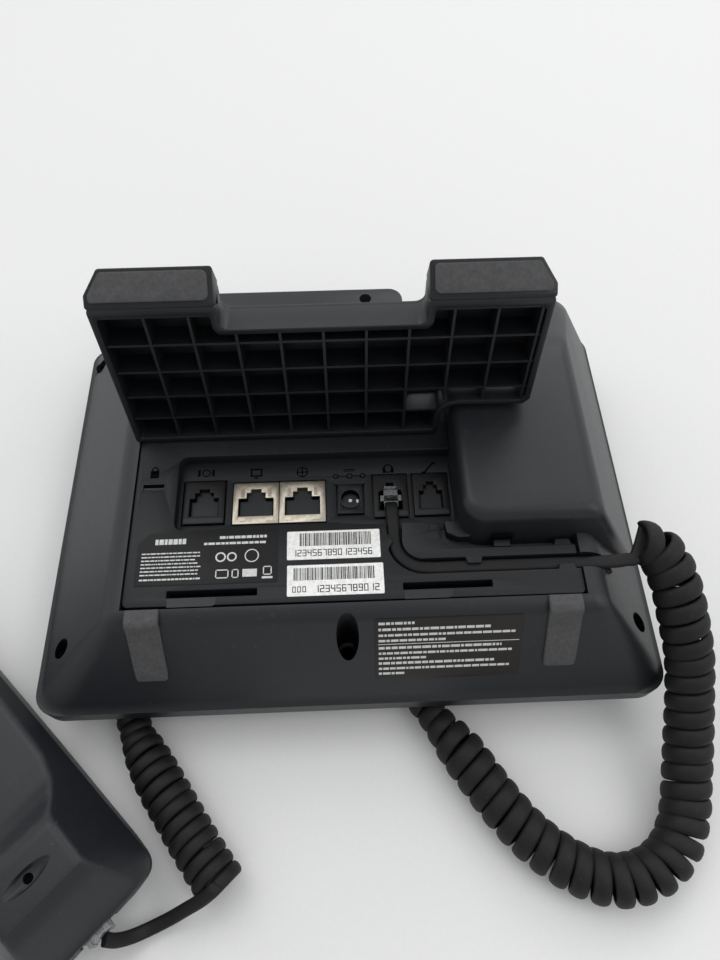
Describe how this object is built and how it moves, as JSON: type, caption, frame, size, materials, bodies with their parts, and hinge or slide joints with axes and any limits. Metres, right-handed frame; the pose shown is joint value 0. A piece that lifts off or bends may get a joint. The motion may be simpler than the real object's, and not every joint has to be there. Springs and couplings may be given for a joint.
{
  "type": "desk ip phone",
  "caption": "Desk network telephone lying on its face: shells, keys and display, sockets and cable channels in the back, ribbed stand, coiled cord and handset.",
  "frame": {"origin": "centre of the key face, on its surface; the phone lies on its face, so the table is 14 mm below", "axes": "+X to the right seen from behind, +Y towards the display end, +Z out of the back"},
  "size_m": [0.3551, 0.2558, 0.1204],
  "materials": {
    "shell": "fine-grained satin charcoal",
    "keycap": "satin charcoal",
    "dark_steel": "black zinc plate",
    "bright_steel": "zinc plate",
    "rubber": "matt, slightly mottled",
    "window": "gloss tinted",
    "panel": "display panel",
    "board": "solder-masked laminate",
    "silicone": "matt silicone",
    "speaker": "paper cone and frame",
    "nickel": "nickel-plated shield",
    "socket": "black moulding",
    "label": "printed film",
    "lamp": "translucent red",
    "cord": "matt black PVC",
    "clear": "clear moulding"
  },
  "bodies": {
    "base": {"front_shell": "shell", "rear_shell": "shell", "case_screws": "dark_steel", "board_screws": "bright_steel", "base_strips": "rubber", "screen_window": "window", "lcd_module": "panel", "main_board": "board", "key_board": "board", "key_mat": "silicone", "loudspeaker": "speaker", "network_jacks": "nickel", "line_jacks": "socket", "power_jack": "socket", "rear_labels": "label", "message_lamp": "lamp", "cord": "cord", "base_plug": "clear"},
    "handset": {"handset_back": "shell", "handset_front": "shell", "handset_receiver": "speaker", "handset_mic": "bright_steel", "handset_weight": "dark_steel", "handset_socket": "socket", "handset_plug": "clear"},
    "stand": {"stand_panel": "shell", "stand_feet": "rubber"},
    "hook_lever": {"hook_lever": "shell"},
    "wall_tab": {"wall_tab": "shell"},
    "key_1": {"key_1": "keycap"},
    "key_2": {"key_2": "keycap"},
    "key_3": {"key_3": "keycap"},
    "key_4": {"key_4": "keycap"},
    "key_5": {"key_5": "keycap"},
    "key_6": {"key_6": "keycap"},
    "key_7": {"key_7": "keycap"},
    "key_8": {"key_8": "keycap"},
    "key_9": {"key_9": "keycap"},
    "key_star": {"key_star": "keycap"},
    "key_0": {"key_0": "keycap"},
    "key_hash": {"key_hash": "keycap"},
    "line_key_1": {"line_key_1": "keycap"},
    "line_key_2": {"line_key_2": "keycap"},
    "line_key_3": {"line_key_3": "keycap"},
    "line_key_4": {"line_key_4": "keycap"},
    "line_key_5": {"line_key_5": "keycap"},
    "line_key_6": {"line_key_6": "keycap"},
    "soft_key_1": {"soft_key_1": "keycap"},
    "soft_key_2": {"soft_key_2": "keycap"},
    "soft_key_3": {"soft_key_3": "keycap"},
    "soft_key_4": {"soft_key_4": "keycap"},
    "nav_ring": {"nav_ring": "keycap"},
    "ok_key": {"ok_key": "keycap"},
    "volume_rocker": {"volume_rocker": "keycap"},
    "mute_key": {"mute_key": "keycap"},
    "headset_key": {"headset_key": "keycap"},
    "message_key": {"message_key": "keycap"},
    "speaker_key": {"speaker_key": "keycap"},
    "redial_key": {"redial_key": "keycap"},
    "transfer_key": {"transfer_key": "keycap"}
  },
  "joints": [
    {"name": "stand_slide", "type": "slide", "parent": "base", "child": "stand", "axis": [1, 0, 0], "range_m": [-0.012, 0]},
    {"name": "handset_lift", "type": "slide", "parent": "base", "child": "handset", "axis": [0, 0, 1], "range_m": [0, 0.1], "deforming": ["cord"]},
    {"name": "hook_switch", "type": "hinge", "parent": "base", "child": "hook_lever", "pos_m": [0.069, 0.011, 0.005], "axis": [-1, 0, 0], "range_deg": [0, 8]},
    {"name": "wall_tab_slide", "type": "slide", "parent": "base", "child": "wall_tab", "axis": [0, 0, -1], "range_m": [0, 0.008]},
    {"name": "volume_rock", "type": "hinge", "parent": "base", "child": "volume_rocker", "pos_m": [-0.038, -0.0705, 0.0032], "axis": [0, 1, 0], "range_deg": [-3, 3]},
    {"name": "nav_press", "type": "slide", "parent": "base", "child": "nav_ring", "axis": [0, 0, 1], "range_m": [0, 0.001]},
    {"name": "ok_press", "type": "slide", "parent": "base", "child": "ok_key", "axis": [0, 0, 1], "range_m": [0, 0.001]},
    {"name": "line_key_1_press", "type": "slide", "parent": "base", "child": "line_key_1", "axis": [0, 0.1495, 0.9888], "range_m": [0, 0.001]},
    {"name": "key_5_press", "type": "slide", "parent": "base", "child": "key_5", "axis": [0, 0, 1], "range_m": [0, 0.001]},
    {"name": "key_1_press", "type": "slide", "parent": "base", "child": "key_1", "axis": [0, 0, 1], "range_m": [0, 0.001]},
    {"name": "key_2_press", "type": "slide", "parent": "base", "child": "key_2", "axis": [0, 0, 1], "range_m": [0, 0.001]},
    {"name": "key_3_press", "type": "slide", "parent": "base", "child": "key_3", "axis": [0, 0, 1], "range_m": [0, 0.001]},
    {"name": "key_4_press", "type": "slide", "parent": "base", "child": "key_4", "axis": [0, 0, 1], "range_m": [0, 0.001]},
    {"name": "key_6_press", "type": "slide", "parent": "base", "child": "key_6", "axis": [0, 0, 1], "range_m": [0, 0.001]},
    {"name": "key_7_press", "type": "slide", "parent": "base", "child": "key_7", "axis": [0, 0, 1], "range_m": [0, 0.001]},
    {"name": "key_8_press", "type": "slide", "parent": "base", "child": "key_8", "axis": [0, 0, 1], "range_m": [0, 0.001]},
    {"name": "key_9_press", "type": "slide", "parent": "base", "child": "key_9", "axis": [0, 0, 1], "range_m": [0, 0.001]},
    {"name": "key_star_press", "type": "slide", "parent": "base", "child": "key_star", "axis": [0, 0, 1], "range_m": [0, 0.001]},
    {"name": "key_0_press", "type": "slide", "parent": "base", "child": "key_0", "axis": [0, 0, 1], "range_m": [0, 0.001]},
    {"name": "key_hash_press", "type": "slide", "parent": "base", "child": "key_hash", "axis": [0, 0, 1], "range_m": [0, 0.001]},
    {"name": "mute_key_press", "type": "slide", "parent": "base", "child": "mute_key", "axis": [0, 0, 1], "range_m": [0, 0.001]},
    {"name": "headset_key_press", "type": "slide", "parent": "base", "child": "headset_key", "axis": [0, 0, 1], "range_m": [0, 0.001]},
    {"name": "message_key_press", "type": "slide", "parent": "base", "child": "message_key", "axis": [0, 0, 1], "range_m": [0, 0.001]},
    {"name": "speaker_key_press", "type": "slide", "parent": "base", "child": "speaker_key", "axis": [0, 0, 1], "range_m": [0, 0.001]},
    {"name": "redial_key_press", "type": "slide", "parent": "base", "child": "redial_key", "axis": [0, 0, 1], "range_m": [0, 0.001]},
    {"name": "transfer_key_press", "type": "slide", "parent": "base", "child": "transfer_key", "axis": [0, 0, 1], "range_m": [0, 0.001]},
    {"name": "line_key_2_press", "type": "slide", "parent": "base", "child": "line_key_2", "axis": [0, 0.1495, 0.9888], "range_m": [0, 0.001]},
    {"name": "line_key_3_press", "type": "slide", "parent": "base", "child": "line_key_3", "axis": [0, 0.1495, 0.9888], "range_m": [0, 0.001]},
    {"name": "line_key_4_press", "type": "slide", "parent": "base", "child": "line_key_4", "axis": [0, 0.1495, 0.9888], "range_m": [0, 0.001]},
    {"name": "line_key_5_press", "type": "slide", "parent": "base", "child": "line_key_5", "axis": [0, 0.1495, 0.9888], "range_m": [0, 0.001]},
    {"name": "line_key_6_press", "type": "slide", "parent": "base", "child": "line_key_6", "axis": [0, 0.1495, 0.9888], "range_m": [0, 0.001]},
    {"name": "soft_key_1_press", "type": "slide", "parent": "base", "child": "soft_key_1", "axis": [0, 0.1495, 0.9888], "range_m": [0, 0.001]},
    {"name": "soft_key_2_press", "type": "slide", "parent": "base", "child": "soft_key_2", "axis": [0, 0.1495, 0.9888], "range_m": [0, 0.001]},
    {"name": "soft_key_3_press", "type": "slide", "parent": "base", "child": "soft_key_3", "axis": [0, 0.1495, 0.9888], "range_m": [0, 0.001]},
    {"name": "soft_key_4_press", "type": "slide", "parent": "base", "child": "soft_key_4", "axis": [0, 0.1495, 0.9888], "range_m": [0, 0.001]}
  ]
}
